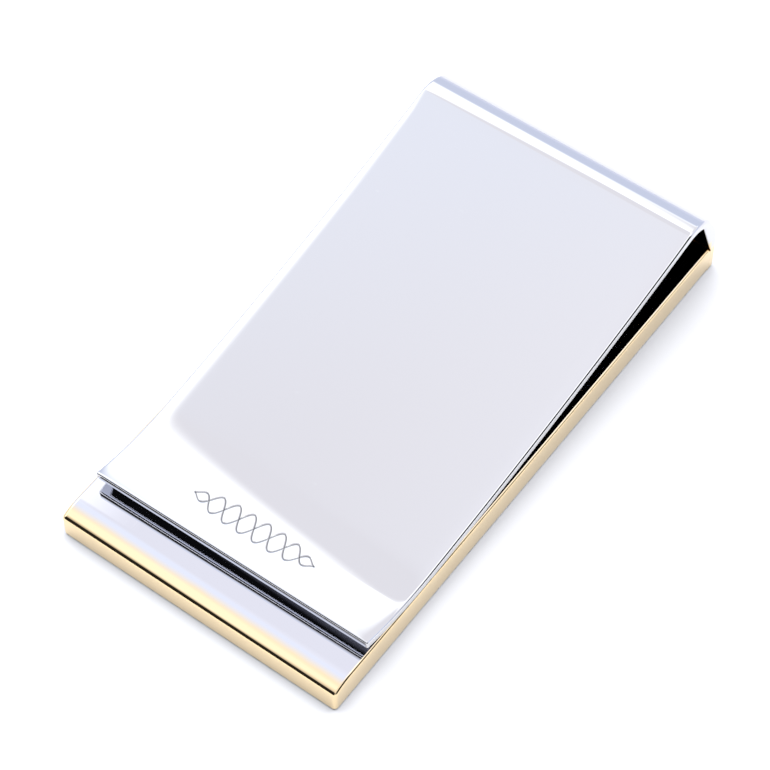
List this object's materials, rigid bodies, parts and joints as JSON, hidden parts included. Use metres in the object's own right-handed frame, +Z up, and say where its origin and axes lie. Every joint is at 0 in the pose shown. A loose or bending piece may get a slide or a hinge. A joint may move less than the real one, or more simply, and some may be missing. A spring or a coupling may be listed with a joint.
{
  "type": "money clip",
  "caption": "Spring money clip: a flat gold-coloured bar with a silver-coloured blade folded over it that presses folded notes against the bar.",
  "frame": {"origin": "centre of the bounding box in plan, on the underside the clip rests on", "axes": "+X along the clip towards its open end, +Y towards its right side seen from the spine, +Z up from the bar towards the blade"},
  "size_m": [0.056, 0.0284, 0.0092],
  "materials": {
    "gold_plate": "pale gold plating, mirror polished",
    "bright_plate": "silver-coloured plating, mirror polished",
    "braze": "brazing filler, polished flush"
  },
  "bodies": {
    "clip_body": {"base_bar": "gold_plate", "braze_seam": "braze", "spring_heel": "bright_plate"},
    "blade": {"spring_blade": "bright_plate"}
  },
  "joints": [
    {"name": "blade_flex", "type": "hinge", "parent": "clip_body", "child": "blade", "pos_m": [-0.02276, 0, 0.00912], "axis": [0, -1, 0], "range_deg": [0, 5], "stiffness_Nm_per_rad": 8, "springref_deg": -1.15}
  ]
}
